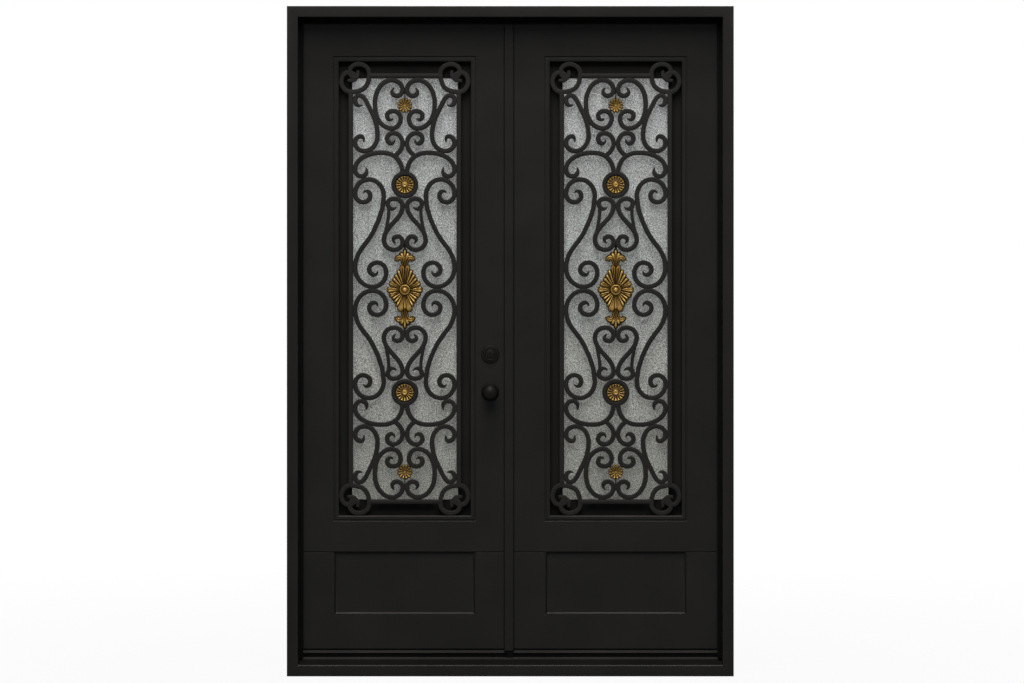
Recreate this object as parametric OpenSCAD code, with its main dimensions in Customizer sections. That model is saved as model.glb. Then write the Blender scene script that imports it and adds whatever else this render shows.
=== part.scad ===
// Double entry door of black wrought iron in its steel frame.
// Seen from outside the viewer looks along +Y. X runs to the right and Z up.
// The origin is at the middle of the sill's underside.

/* [Frame] */
// Overall width of the frame
door_w = 1625.6; // [1580:0.1:1800]
// Overall height of the frame
door_h = 2438.4; // [2420:0.1:2600]
// Depth of the frame from outside to inside
frame_d = 152; // [140:1:180]
// Width of the frame's face, seen from the front
frame_face = 40; // [30:1:50]
// Width of the stop that the leaves close against
stop_w = 12; // [8:1:16]
// Depth of the stop
stop_d = 25; // [15:1:40]
// Height of the sill's front face
sill_h = 40; // [30:1:45]
// Rise of the sloping tread behind the sill's front edge
tread_rise = 12; // [8:1:14]
// Depth of the saddle strip under the leaves
saddle_d = 60; // [50:1:70]
// Height of the saddle strip
saddle_h = 12; // [8:1:14]
// Depth to which the saddle is let into the tread
saddle_bed = 6; // [3:0.5:7]

/* [Leaves] */
// Thickness of a leaf
leaf_t = 50; // [49:1:60]
// Gap between a leaf and the frame around it
leaf_gap = 5; // [5:0.5:8]
// Gap between the two leaves
meeting_gap = 8; // [8:0.5:12]
// Gap between the leaves and the stops or the cover strip
seal_gap = 5; // [5:0.5:8]
// Height of a leaf's lower edge
leaf_z = 90; // [85:1:110]
// Height of the kick panel's lower edge
kick_bottom = 218; // [190:1:240]
// Height of the kick panel's upper edge
kick_top = 446; // [400:1:470]
// Depth of the kick panel's recess on either face
kick_recess = 8; // [4:1:12]
// Flat rim around the kick panel's recess
kick_rim = 2; // [1:0.5:6]
// Height of the sweep strip under a leaf
sweep_h = 10; // [6:1:12]
// Height of the neck that holds the sweep strip
sweep_neck = 6; // [4:1:8]
// Setback of the sweep's neck behind the leaf's face
sweep_setback = 8; // [4:1:14]
// Thickness of the blade below the sweep strip
blade_t = 4; // [3:0.5:6]
// Gap between that blade and the saddle
blade_gap = 5; // [5:0.5:8]
// Width of the cover strip over the meeting edges
strip_w = 31; // [26:1:40]
// Part of the cover strip that lies over the right leaf
strip_hold = 10.5; // [9:0.5:14]
// Thickness of the cover strip
strip_t = 6; // [4:1:8]

/* [Window] */
// Width of the stiles on either side of a window
stile_w = 123; // [110:1:130]
// Height of the rail over a window
top_rail_h = 130; // [110:1:150]
// Height of the window's lower edge
window_bottom = 578; // [560:1:600]
// Shift of the window from the leaf's middle towards its hinges
window_shift = 2; // [0:0.5:6]
// Width of the flat moulding around the window
moulding_w = 14; // [12:1:18]
// Depth from the leaf's face to the sash behind the moulding
moulding_d = 34; // [30:1:35]
// Width of the shadow groove around the moulding
groove_w = 3; // [2:0.5:4]
// Depth of the shadow groove
groove_d = 5; // [3:0.5:8]
// Width of the sash that shows inside the moulding
sash_show = 50; // [47:1:52]
// Thickness of the sash lip in front of the glass
sash_lip = 4; // [3:0.5:5]
// Thickness of the sash behind the glass
sash_back = 3; // [2:0.5:4]
// Thickness of the glass
glass_t = 8; // [6:1:9]
// Depth to which the glass reaches into the sash
glass_bite = 12; // [6:1:20]

/* [Ironwork] */
// Width of the straight bars around the ironwork
bar_w = 17; // [15:1:18]
// Width of the scrolls
scroll_w = 17; // [16.5:0.5:18]
// Width of the corner scrolls
corner_w = 17; // [16:0.5:18]
// Gap between the corner scrolls and the moulding
corner_gap = 0.5; // [0.2:0.1:2]
// Width of the tabs that weld them to it
tab_w = 10; // [6:1:14]
// Width of the thin stem inside the lyre
stem_w = 12; // [10:0.5:14]
// Setback of the bars behind the leaf's face
bar_setback = 2; // [1:0.5:4]
// Depth of all bars, front to back
bar_d = 14; // [8:1:16]
// Width of the weld metal where bars meet
weld = 1.6; // [1.4:0.1:2]
// Outer radius of the ring around a rosette
ring_r = 50; // [48:0.5:51]
// Inner radius of that ring
ring_hole_r = 34.5; // [33:0.5:37]
// Radius of a rosette's flower
rosette_r = 33; // [28:0.5:33]
// Radius of the flange that holds a rosette behind its ring
flange_r = 42; // [39:0.5:46]
// Radius of a small star flower
star_r = 26; // [20:0.5:28]
// Half width of the cast sunburst
burst_a = 65; // [55:1:68]
// Half height of the cast sunburst without its tips
burst_b = 97; // [85:1:102]
// Thickness of the cast gold pieces
cast_t = 10; // [6:1:10]
// Thickness of the flanges and straps that hold them
strap_t = 3; // [2:0.5:4]
// Width of the straps that hold them
strap_w = 8; // [6:1:10]

/* [Hardware] */
// Distance of the knob from the leaf's edge
backset = 70; // [66:1:90]
// Height of the knob over the floor
knob_z = 1032; // [950:1:1080]
// Height of the deadbolt over the knob
bolt_rise = 140; // [120:1:160]
// Radius of the knob
knob_r = 31; // [25:0.5:32]
// Distance of the knob's middle from the leaf's face
knob_reach = 48; // [46:1:60]
// Radius of the knob's neck
neck_r = 11; // [9:0.5:14]
// Radius of the roses behind the knob and the deadbolt
rose_r = 33; // [28:0.5:36]
// Thickness of those roses
rose_t = 10; // [6:1:12]
// Radius of the spindle that joins both knobs
spindle_r = 5; // [4:0.5:6]
// Width of the key slot
key_w = 2.5; // [2:0.5:4]
// Height of the key slot
key_h = 12; // [8:1:14]
// Width of the turn piece on the inner side
turn_w = 10; // [6:1:14]
// Length of the turn piece
turn_h = 40; // [30:1:50]
// Distance to which the turn piece stands out from the leaf
turn_reach = 22; // [18:1:30]
// Radial room around the spindle inside the stile
lock_room = 3; // [2:0.5:6]
// Gap between a knob's neck and its rose
knob_gap = 0.5; // [0.3:0.1:1]
// Radial clearance around the spindle and the hinge pins
fit = 0.05; // [0.02:0.01:0.1]
// Radius of a hinge barrel
barrel_r = 9; // [8:0.5:10]
// Radius of a hinge pin
pin_r = 6; // [4:0.5:6]
// Height of one half of a hinge barrel
barrel_h = 55; // [40:1:70]
// Width of a hinge wing from the pin
wing_w = 32; // [20:1:34]
// Thickness of a hinge wing
wing_t = 3; // [2.5:0.5:4]
// Gap between the two halves of a hinge
barrel_gap = 0.5; // [0.3:0.1:1]
// Thickness of the closed end over a hinge bore
barrel_cap = 6; // [4:1:10]
// Room between a hinge pin's end and the closed end of its bore
pin_room = 4; // [2:1:8]
// Height of the lowest hinge
hinge_low = 280; // [200:5:400]
// Distance of the highest hinge below the frame's top
hinge_high = 290; // [260:5:400]

/* [Hidden] */
$fn = 64;
iron = "#2b2a29";
iron_light = "#383736";
gold = "#a8843c";
steel = "#1f1f20";

// Frame outline and the planes that the pieces share
half_w = door_w / 2;
front_y = -frame_d / 2;
back_y = frame_d / 2;
opening_x = half_w - frame_face;
opening_top = door_h - frame_face;
saddle_y = back_y - saddle_d;
saddle_z = sill_h + saddle_bed;
saddle_top = saddle_z + saddle_h;

// One leaf, described on the left side
leaf_y = back_y - leaf_t;
leaf_out = -(opening_x - leaf_gap);
leaf_in = -meeting_gap / 2;
leaf_x = (leaf_out + leaf_in) / 2;
leaf_top = opening_top - leaf_gap;
window_x = leaf_x - window_shift;
stop_y = leaf_y - seal_gap;
cut_edge = moulding_w + groove_w;
cut_w = leaf_in - leaf_out - 2 * stile_w;
cut_bottom = window_bottom - cut_edge;
cut_top = leaf_top - top_rail_h;
window_w = cut_w - 2 * cut_edge;
window_h = cut_top - cut_edge - window_bottom;
window_z = window_bottom + window_h / 2;

// Layers of the window, from outside to inside
sash_y = leaf_y + moulding_d;
glass_y = sash_y + sash_lip;
glass_back = glass_y + glass_t;
sash_end = glass_back + sash_back;
sash_open_w = window_w - 2 * sash_show;
sash_open_h = window_h - 2 * sash_show;
bar_y = leaf_y + bar_setback;
bar_back = bar_y + bar_d;
cast_y = bar_back - cast_t;

// The scrollwork is drawn for a window of this size and stretched to the real one
drawn = [484, 1668];
stretch = [window_w / drawn[0], window_h / drawn[1]];
shrink = min(stretch[0], stretch[1]);
swell = max(1, stretch[0], stretch[1]);

// Places on that drawing, across and up from its middle: the straight bars and where they end,
// a ring, a star with the weld that holds its strap, and the weld that holds the sunburst's strap
bar_at = [198.5, 783];
bar_end = [127, 721];
ring_at = [0, 382];
star_at = [0, 674];
star_weld = [0, 732];
burst_weld = [0, 168];

// Each scroll is a row of [across, up, heading] around the window's middle.
// Between two such places it bends evenly from one heading to the next.
// This is the upper left quarter, and the others mirror it.
corner_half = [[85, -87, 45], [102, -33, 90], [63, 0, 180], [31, -25, 270],
    [49, -50, 0], [60, -35, 90], [60, -23, 95]];
oval_scroll = [[-39, 739, 235], [-47, 726, 270], [-30, 709, 0], [-8, 731, 90],
    [-48, 767, 180], [-110, 683, 270], [-97, 621, 300], [-48, 589, 0], [-15, 626, 90],
    [-42, 653, 180], [-65, 637, 270], [-53, 621, 0], [-42, 626, 45]];
side_scroll = [[-156, 674, 210], [-168, 671, 180], [-183, 690, 90], [-167, 707, 0],
    [-123, 651, -62], [-100, 564, -90], [-148, 506, 180], [-183, 536, 90],
    [-162, 560, 0], [-151, 548, 270], [-150, 539, 280]];
small_scroll = [[-37, 548, 270], [-49, 534, 180], [-65, 552, 90], [-42, 572, 0],
    [-8, 534, 270], [-37, 489, 215]];
shoulder_scroll = [[-8, 425, 90], [-48, 493, 155], [-88, 500, 180], [-183, 439, 270],
    [-160, 413, 0], [-140, 432, 90], [-143, 446, 115]];
long_scroll = [[-152, 351, 80], [-142, 359, 0], [-127, 341, 270], [-153, 318, 180],
    [-183, 350, 90], [-132, 402, 0], [-77, 340, 270], [-117, 207, 243],
    [-154, 154, 232], [-183, 79, 270], [-118, 7, 0], [-68, 59, 90],
    [-101, 96, 180], [-131, 70, 270], [-111, 51, 0], [-100, 65, 92]];
lyre_scroll = [[-32, 301, 260], [-46, 293, 180], [-63, 314, 90], [-39, 331, 0],
    [-8, 304, 270], [-38, 247, 226], [-77, 180, 270], [-40, 143, 0],
    [-8, 170, 90], [-26, 192, 180], [-42, 180, 270], [-33, 167, 330]];
lyre_stem = [[-60, 316, 270], [-59, 280, 268], [-63, 247, 258], [-70, 215, 250]];

// Length over which a scroll thins to its tip, its width there, and its bend per chord
tip_length = 24;
tip_w = 4;
bend_step = 24;

// Hinges: pin axis and heights
axis_x = -(opening_x - leaf_gap / 2);
axis_y = back_y + barrel_r + 1;
hinge_top = door_h - hinge_high;
hinge_zs = [hinge_low, (hinge_low + hinge_top) / 2, hinge_top];
pin_reach = barrel_h - barrel_cap - pin_room;
bore_depth = barrel_h - barrel_cap;

// Lock hardware
lock_x = leaf_in - backset;
bolt_z = knob_z + bolt_rise;
lock_hole_r = spindle_r + lock_room;

// A turn from heading a to heading b, between -180 and 180
function turn(a, b) = (b - a + 900) % 360 - 180;

function along(heading) = [cos(heading), sin(heading)];

// Length of a curve's handle at a place p with a heading, bending by a turn on the way to q
function handle(p, q, heading, bend) =
    let (share = bend < 1 ? 1 / 3 : 4 / 3 * tan(bend / 4) / sin(bend))
    share * abs((q - p) * along(heading));

function curve_point(a, b, c, d, t) =
    a * pow(1 - t, 3) + b * 3 * t * pow(1 - t, 2) + c * 3 * t * t * (1 - t) + d * pow(t, 3);

// Points from one place of a scroll to the next, without the last one
function bend_points(k, m) =
    let (
        p = [k[0], k[1]],
        q = [m[0], m[1]],
        bend = abs(turn(k[2], m[2])),
        b = p + along(k[2]) * handle(p, q, k[2], bend),
        c = q - along(m[2]) * handle(p, q, m[2], bend),
        count = max(2, ceil(bend / bend_step))
    )
    [for (i = [0 : count - 1]) curve_point(p, b, c, q, i / count)];

function scroll_line(row) = [
    for (i = [0 : len(row) - 2]) each bend_points(row[i], row[i + 1]),
    [row[len(row) - 1][0], row[len(row) - 1][1]]
];

// Distance along a line from its start to each of its points
function run_lengths(line, i = 0, run = 0) =
    i == len(line) ? [] : let (next = i == 0 ? 0 : run + norm(line[i] - line[i - 1]))
    concat([next], run_lengths(line, i + 1, next));

// Direction to the left of a line at its point i
function left_of(line, i) =
    let (
        ahead = line[min(i + 1, len(line) - 1)] - line[max(i - 1, 0)],
        unit = ahead / norm(ahead)
    )
    [-unit[1], unit[0]];

// Width of a scroll at a distance from a thinned tip
function thinned(w, distance) = min(w, tip_w + (w - tip_w) * distance / tip_length);

// The corner scroll's halves: its own, and its mirror image in the corner's diagonal.
// Both start from the place where its outer edges clear the moulding by a gap.
corner_inset = corner_w * swell / 2 + corner_gap;
corner_place = [
    (corner_inset - window_w / 2) / stretch[0],
    (window_h / 2 - corner_inset) / stretch[1],
    0
];
corner_scrolls = [
    [for (k = corner_half) corner_place + k],
    [for (k = corner_half) corner_place + [-k[1], -k[0], 270 - k[2]]]
];

// A block between two places on each axis
module block(xs, ys, zs) {
    translate([xs[0], ys[0], zs[0]])
        cube([xs[1] - xs[0], ys[1] - ys[0], zs[1] - zs[0]]);
}

// An outline in the door's plane, thickened from one depth to another
module upright(ys) {
    translate([0, ys[1], 0]) rotate([90, 0, 0]) linear_extrude(ys[1] - ys[0]) children();
}

// A profile of depth and height, run from one side to another
module crosswise(xs) {
    translate([xs[0], 0, 0]) rotate([90, 0, 90]) linear_extrude(xs[1] - xs[0]) children();
}

// The right half of the door mirrors the left one
module on_right() {
    mirror([1, 0, 0]) children();
}

module at_window() {
    translate([window_x, 0, window_z]) children();
}

// Two mitred side pieces, or two end pieces, of a border around an opening
module border_sides(w, h, border) {
    for (side = [-1, 1])
        polygon([[side * w / 2, -h / 2], [side * w / 2, h / 2],
            [side * (w / 2 + border), h / 2 + border],
            [side * (w / 2 + border), -h / 2 - border]]);
}

module border_ends(w, h, border) {
    for (end = [-1, 1])
        polygon([[-w / 2, end * h / 2], [w / 2, end * h / 2],
            [w / 2 + border, end * (h / 2 + border)],
            [-w / 2 - border, end * (h / 2 + border)]]);
}

// Frame pieces
module jamb() {
    color(iron) upright([front_y, back_y])
        polygon([[-half_w, 0], [-half_w, door_h], [-opening_x, opening_top], [-opening_x, sill_h]]);
}

module head_jamb() {
    color(iron) upright([front_y, back_y])
        polygon([[-half_w, door_h], [half_w, door_h], [opening_x, opening_top], [-opening_x, opening_top]]);
}

module sill() {
    color(iron_light) {
        upright([front_y, back_y])
            polygon([[-half_w, 0], [half_w, 0], [opening_x, sill_h], [-opening_x, sill_h]]);
        crosswise([-opening_x, opening_x])
            polygon([[front_y, sill_h], [saddle_y, sill_h + tread_rise], [saddle_y, saddle_z],
                [back_y, saddle_z], [back_y, sill_h]]);
    }
}

module saddle() {
    color(iron_light) block([-opening_x, opening_x], [saddle_y, back_y], [saddle_z, saddle_top]);
}

module side_stop() {
    color(iron) block([-opening_x, -opening_x + stop_w], [stop_y - stop_d, stop_y],
        [saddle_top, opening_top]);
}

module head_stop() {
    color(iron) block([-opening_x + stop_w, opening_x - stop_w], [stop_y - stop_d, stop_y],
        [opening_top - stop_w, opening_top]);
}

// Lower hinge halves with their pins, on the frame
module frame_hinges() {
    color(steel) for (z = hinge_zs) translate([axis_x, axis_y, z]) {
        cylinder(r = barrel_r, h = barrel_h);
        cylinder(r = pin_r, h = barrel_h + barrel_gap + pin_reach);
        block([-wing_w, 0], [back_y - axis_y, back_y - axis_y + wing_t], [0, barrel_h]);
    }
}

// Upper hinge halves with their bores, on a leaf
module leaf_hinges() {
    color(steel) for (z = hinge_zs) translate([axis_x, axis_y, z + barrel_h + barrel_gap])
        difference() {
            union() {
                cylinder(r = barrel_r, h = barrel_h);
                block([0, wing_w], [back_y - axis_y, back_y - axis_y + wing_t], [0, barrel_h]);
            }
            translate([0, 0, -1]) cylinder(r = pin_r + fit, h = bore_depth + 1);
        }
}

// Leaf pieces
module hinge_stile() {
    color(iron) block([leaf_out, window_x - cut_w / 2], [leaf_y, back_y], [leaf_z, leaf_top]);
}

module meeting_stile(locked) {
    color(iron) difference() {
        block([window_x + cut_w / 2, leaf_in], [leaf_y, back_y], [leaf_z, leaf_top]);
        if (locked)
            translate([lock_x, 0, knob_z]) upright([leaf_y - 1, back_y + 1]) circle(lock_hole_r);
    }
}

module rail(zs) {
    color(iron) block([window_x - cut_w / 2, window_x + cut_w / 2], [leaf_y, back_y], zs);
}

// A recess that narrows by its depth on all four sides
module recess(w, h, depth) {
    intersection() {
        linear_extrude(h, center = true)
            polygon([[-w / 2, 0], [w / 2, 0], [w / 2 - depth, depth], [-w / 2 + depth, depth]]);
        crosswise([-w / 2, w / 2])
            polygon([[0, -h / 2], [0, h / 2], [depth, h / 2 - depth], [depth, -h / 2 + depth]]);
    }
}

module kick_panel() {
    h = kick_top - kick_bottom;
    color(iron_light) difference() {
        rail([kick_bottom, kick_top]);
        for (face = [0, 1])
            translate([window_x, face == 0 ? leaf_y : back_y, kick_bottom + h / 2])
                rotate([0, 0, face * 180])
                recess(cut_w - 2 * kick_rim, h - 2 * kick_rim, kick_recess);
    }
}

module moulding_sides() {
    color(iron_light) at_window() {
        upright([leaf_y, leaf_y + groove_d]) border_sides(window_w, window_h, moulding_w);
        upright([leaf_y + groove_d, sash_y]) border_sides(window_w, window_h, cut_edge);
    }
}

module moulding_ends() {
    color(iron_light) at_window() {
        upright([leaf_y, leaf_y + groove_d]) border_ends(window_w, window_h, moulding_w);
        upright([leaf_y + groove_d, sash_y]) border_ends(window_w, window_h, cut_edge);
    }
}

module sash_sides() {
    border = sash_show + cut_edge;
    color(steel) at_window() {
        upright([sash_y, glass_y]) border_sides(sash_open_w, sash_open_h, border);
        upright([glass_y, glass_back])
            border_sides(sash_open_w + 2 * glass_bite, sash_open_h + 2 * glass_bite, border - glass_bite);
        upright([glass_back, sash_end]) border_sides(sash_open_w, sash_open_h, border);
    }
}

module sash_ends() {
    border = sash_show + cut_edge;
    color(steel) at_window() {
        upright([sash_y, glass_y]) border_ends(sash_open_w, sash_open_h, border);
        upright([glass_y, glass_back])
            border_ends(sash_open_w + 2 * glass_bite, sash_open_h + 2 * glass_bite, border - glass_bite);
        upright([glass_back, sash_end]) border_ends(sash_open_w, sash_open_h, border);
    }
}

module glass() {
    w = sash_open_w + 2 * glass_bite;
    h = sash_open_h + 2 * glass_bite;
    color("#c9cdcc") at_window() block([-w / 2, w / 2], [glass_y, glass_back], [-h / 2, h / 2]);
}

// A scroll of a width, with each end thinned to a tip or left blunt
module scroll(row, w, tips) {
    line = [for (p = scroll_line(row)) [p[0] * stretch[0], p[1] * stretch[1]]];
    run = run_lengths(line);
    whole = run[len(run) - 1];
    full = w * swell;
    widths = [for (r = run)
        min(tips[0] ? thinned(full, r) : full, tips[1] ? thinned(full, whole - r) : full)];
    sides = [for (i = [0 : len(line) - 1]) left_of(line, i) * widths[i] / 2];
    for (i = [0 : len(line) - 2])
        polygon([line[i] + sides[i], line[i + 1] + sides[i + 1],
            line[i + 1] - sides[i + 1], line[i] - sides[i]]);
}

module quarter_scrolls() {
    for (row = corner_scrolls) scroll(row, corner_w, [false, true]);
    scroll(oval_scroll, scroll_w, [true, true]);
    scroll(side_scroll, scroll_w, [true, true]);
    scroll(small_scroll, scroll_w, [true, false]);
    scroll(shoulder_scroll, scroll_w, [false, true]);
    scroll(long_scroll, scroll_w, [true, true]);
    scroll(lyre_scroll, scroll_w, [true, true]);
    scroll(lyre_stem, stem_w, [false, false]);
}

// The straight bars run between the corner scrolls
module straight_bars() {
    for (side = [-1, 1]) {
        translate([side * bar_at[0] * stretch[0], 0])
            square([bar_w * swell, 2 * bar_end[1] * stretch[1]], center = true);
        translate([0, side * bar_at[1] * stretch[1]])
            square([2 * bar_end[0] * stretch[0], bar_w * swell], center = true);
    }
}

// Tabs carry the grille: they weld the corner scrolls to the moulding
module corner_tabs() {
    top = corner_scrolls[0][2][0] * stretch[0];
    side = corner_scrolls[1][2][1] * stretch[1];
    translate([top - tab_w / 2, window_h / 2 - corner_inset]) square([tab_w, corner_inset]);
    translate([-window_w / 2, side - tab_w / 2]) square([corner_inset, tab_w]);
}

// Weld metal fills the narrow corners where bars meet
module welded() {
    offset(delta = -weld) offset(delta = weld) children();
}

module at_rings() {
    for (end = [-1, 1]) translate([0, end * ring_at[1] * stretch[1]]) children();
}

module grille() {
    color(iron_light) at_window() upright([bar_y, bar_back]) welded() difference() {
        union() {
            straight_bars();
            for (across = [0, 1], up = [0, 1])
                mirror([across, 0]) mirror([0, up]) {
                    quarter_scrolls();
                    corner_tabs();
                }
            at_rings() circle(ring_r * swell);
        }
        at_rings() circle(ring_hole_r * swell);
    }
}

// A star with points at one radius and notches at another
module star(points, tip, notch) {
    polygon([for (i = [0 : 2 * points - 1])
        (i % 2 == 0 ? tip : notch) * along(i * 180 / points)]);
}

module strap(vs) {
    block([-strap_w / 2, strap_w / 2], [bar_back, bar_back + strap_t], vs);
}

// Gold flowers in the rings, and gold stars between the upper scrolls
module rosettes() {
    boss_r = rosette_r * swell * 0.28;
    boss_rise = 3;
    star_points = 8;
    color(gold) at_window() for (end = [0, 1]) mirror([0, 0, end]) {
        translate([0, 0, ring_at[1] * stretch[1]]) {
            upright([bar_back, bar_back + strap_t]) circle(flange_r * swell);
            upright([cast_y, bar_back]) circle(rosette_r * swell);
            upright([cast_y - boss_rise, cast_y]) circle(boss_r);
        }
        translate([0, 0, star_at[1] * stretch[1]])
            upright([cast_y, bar_back]) star(star_points, star_r * shrink, star_r * shrink * 0.6);
        strap([star_at[1] * stretch[1], star_weld[1] * stretch[1]]);
    }
}

// Outline of the sunburst: rays end on an oval that is nearly a diamond
module burst() {
    rays = 24;
    fullness = 1.35;
    notch = 0.86;
    polygon([for (i = [0 : 2 * rays - 1])
        let (
            a = i * 180 / rays,
            u = pow(abs(cos(a)) / (burst_a * stretch[0]), fullness),
            v = pow(abs(sin(a)) / (burst_b * stretch[1]), fullness)
        )
        (i % 2 == 0 ? 1 : notch) * along(a) / pow(u + v, 1 / fullness)]);
}

// Leaf tip above the sunburst: a stem between two curled leaves, and a crest
module fleuron() {
    curl_r = burst_a * shrink * 0.2;
    crest_r = burst_a * shrink * 0.17;
    stalk_w = burst_a * shrink * 0.36;
    tip = burst_b * stretch[1];
    base = tip * 0.84;
    top = tip + 2.6 * curl_r;
    translate([-stalk_w / 2, base]) square([stalk_w, top - base]);
    for (side = [-1, 1]) {
        translate([side * curl_r * 1.55, tip + curl_r * 1.1]) circle(curl_r);
        translate([side * crest_r * 0.8, top]) circle(crest_r);
    }
}

module cartouche() {
    boss_r = burst_a * shrink * 0.3;
    dome_r = boss_r * 0.55;
    boss_rise = 2;
    color(gold) at_window() {
        upright([cast_y, bar_back]) {
            burst();
            for (end = [0, 1]) mirror([0, end]) fleuron();
        }
        upright([cast_y - boss_rise, cast_y]) circle(boss_r);
        upright([cast_y - 2 * boss_rise, cast_y - boss_rise]) circle(dome_r);
        for (end = [0, 1]) mirror([0, 0, end]) strap([burst_b * stretch[1], burst_weld[1] * stretch[1]]);
    }
}

module sweep() {
    neck_z = leaf_z - sweep_neck;
    strip_z = neck_z - sweep_h;
    neck_y = leaf_y + sweep_setback;
    color(iron_light) {
        block([leaf_out, leaf_in], [neck_y, back_y - sweep_setback], [neck_z, leaf_z]);
        block([leaf_out, leaf_in], [leaf_y, back_y - sweep_setback / 2], [strip_z, neck_z]);
        block([leaf_out, leaf_in], [neck_y, neck_y + blade_t], [saddle_top + blade_gap, strip_z]);
    }
}

// Cover strip: fixed to the right leaf, standing off in front of the left one
module astragal() {
    zs = [leaf_z - sweep_neck, opening_top - stop_w - leaf_gap];
    color(iron_light) {
        block([strip_hold - strip_w, strip_hold], [stop_y - strip_t, stop_y], zs);
        block([-leaf_in, strip_hold], [stop_y, leaf_y], [leaf_z, zs[1]]);
    }
}

// Lock hardware on the left leaf
module knob_roses() {
    color(steel) translate([lock_x, 0, knob_z])
        for (ys = [[leaf_y - rose_t, leaf_y], [back_y, back_y + rose_t]])
            upright(ys) difference() {
                circle(rose_r);
                circle(spindle_r + fit);
            }
}

module knob(face, outward) {
    rose_face = face + outward * (rose_t + knob_gap);
    middle = face + outward * knob_reach;
    translate([0, middle, 0]) sphere(knob_r);
    upright([min(rose_face, middle), max(rose_face, middle)]) circle(neck_r);
}

module outside_knob() {
    color(steel) translate([lock_x, 0, knob_z]) {
        knob(leaf_y, -1);
        upright([leaf_y - rose_t - knob_gap, back_y + rose_t + knob_gap]) circle(spindle_r);
    }
}

module inside_knob() {
    color(steel) translate([lock_x, 0, knob_z]) knob(back_y, 1);
}

module deadbolt() {
    ring_steps = [[1, 0.8], [0.74, 1.2], [0.5, 1.4]];
    color(steel) translate([lock_x, 0, bolt_z]) {
        difference() {
            for (s = ring_steps) upright([leaf_y - rose_t * s[1], leaf_y]) circle(rose_r * s[0]);
            upright([leaf_y - rose_t * 2, leaf_y - rose_t]) square([key_w, key_h], center = true);
        }
        upright([back_y, back_y + rose_t]) circle(rose_r);
        upright([back_y + rose_t, back_y + turn_reach]) square([turn_w, turn_h], center = true);
    }
}

jamb();  // left_jamb
on_right() jamb();  // right_jamb
head_jamb();
sill();
saddle();
side_stop();  // left_stop
on_right() side_stop();  // right_stop
head_stop();
frame_hinges();  // left_frame_hinges
on_right() frame_hinges();  // right_frame_hinges
hinge_stile();  // left_hinge_stile
meeting_stile(true);  // left_meeting_stile
rail([cut_top, leaf_top]);  // left_top_rail
rail([kick_top, cut_bottom]);  // left_lock_rail
rail([leaf_z, kick_bottom]);  // left_bottom_rail
kick_panel();  // left_kick_panel
moulding_sides();  // left_moulding_sides
moulding_ends();  // left_moulding_ends
sash_sides();  // left_sash_sides
sash_ends();  // left_sash_ends
glass();  // left_glass
grille();  // left_grille
rosettes();  // left_rosettes
cartouche();  // left_cartouche
sweep();  // left_sweep
leaf_hinges();  // left_leaf_hinges
knob_roses();
deadbolt();
outside_knob();
inside_knob();
on_right() hinge_stile();  // right_hinge_stile
on_right() meeting_stile(false);  // right_meeting_stile
on_right() rail([cut_top, leaf_top]);  // right_top_rail
on_right() rail([kick_top, cut_bottom]);  // right_lock_rail
on_right() rail([leaf_z, kick_bottom]);  // right_bottom_rail
on_right() kick_panel();  // right_kick_panel
on_right() moulding_sides();  // right_moulding_sides
on_right() moulding_ends();  // right_moulding_ends
on_right() sash_sides();  // right_sash_sides
on_right() sash_ends();  // right_sash_ends
on_right() glass();  // right_glass
on_right() grille();  // right_grille
on_right() rosettes();  // right_rosettes
on_right() cartouche();  // right_cartouche
on_right() sweep();  // right_sweep
on_right() leaf_hinges();  // right_leaf_hinges
astragal();
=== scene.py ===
# %% [markdown]
# # A double entry door of black wrought iron
# A finished CAD model gives this door its sizes and its moving parts. This lesson dresses it in
# Blender: rounded sheet steel, forged scrolls, cast flowers, textured glass, paint and light.
# Everything is in metres. X runs to the right, Y into the building and Z up.

# %% Load the CAD model
import math

import bmesh
import bpy
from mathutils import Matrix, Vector, noise


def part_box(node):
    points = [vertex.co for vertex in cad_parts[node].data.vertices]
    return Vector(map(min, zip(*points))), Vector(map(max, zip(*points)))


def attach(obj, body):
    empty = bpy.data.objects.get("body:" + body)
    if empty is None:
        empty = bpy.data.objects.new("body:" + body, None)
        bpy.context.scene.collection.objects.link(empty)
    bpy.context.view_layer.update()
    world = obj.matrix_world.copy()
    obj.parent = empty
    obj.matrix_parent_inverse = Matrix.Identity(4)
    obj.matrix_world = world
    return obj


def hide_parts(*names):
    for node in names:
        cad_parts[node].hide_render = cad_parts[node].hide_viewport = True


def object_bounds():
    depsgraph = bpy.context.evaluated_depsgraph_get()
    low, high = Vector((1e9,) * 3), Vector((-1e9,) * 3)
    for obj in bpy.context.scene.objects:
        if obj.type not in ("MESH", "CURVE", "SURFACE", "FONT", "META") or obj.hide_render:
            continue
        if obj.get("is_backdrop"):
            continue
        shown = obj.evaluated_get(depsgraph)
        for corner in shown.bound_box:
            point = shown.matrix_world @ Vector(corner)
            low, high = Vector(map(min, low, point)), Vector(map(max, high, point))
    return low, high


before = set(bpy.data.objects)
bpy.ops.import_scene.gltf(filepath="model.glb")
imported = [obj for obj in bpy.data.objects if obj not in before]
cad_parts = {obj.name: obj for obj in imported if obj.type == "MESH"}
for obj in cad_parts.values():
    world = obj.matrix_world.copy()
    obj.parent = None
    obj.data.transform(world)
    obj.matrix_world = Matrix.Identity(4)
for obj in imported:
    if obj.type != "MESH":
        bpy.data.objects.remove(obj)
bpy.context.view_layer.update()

# %% [markdown]
# ## Where the camera stands
# The photograph shows the door straight on, from far away, so its sides hardly converge. The lens
# follows from the distance and from the share of the picture that the door fills. We could turn
# the camera a little to centre the door, but then its edges would lean. Shifting the lens keeps
# them upright.

# %% Camera
def set_down(name, data):
    """Puts an object with this data into the scene."""
    thing = bpy.data.objects.new(name, data)
    bpy.context.scene.collection.objects.link(thing)
    return thing


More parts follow.
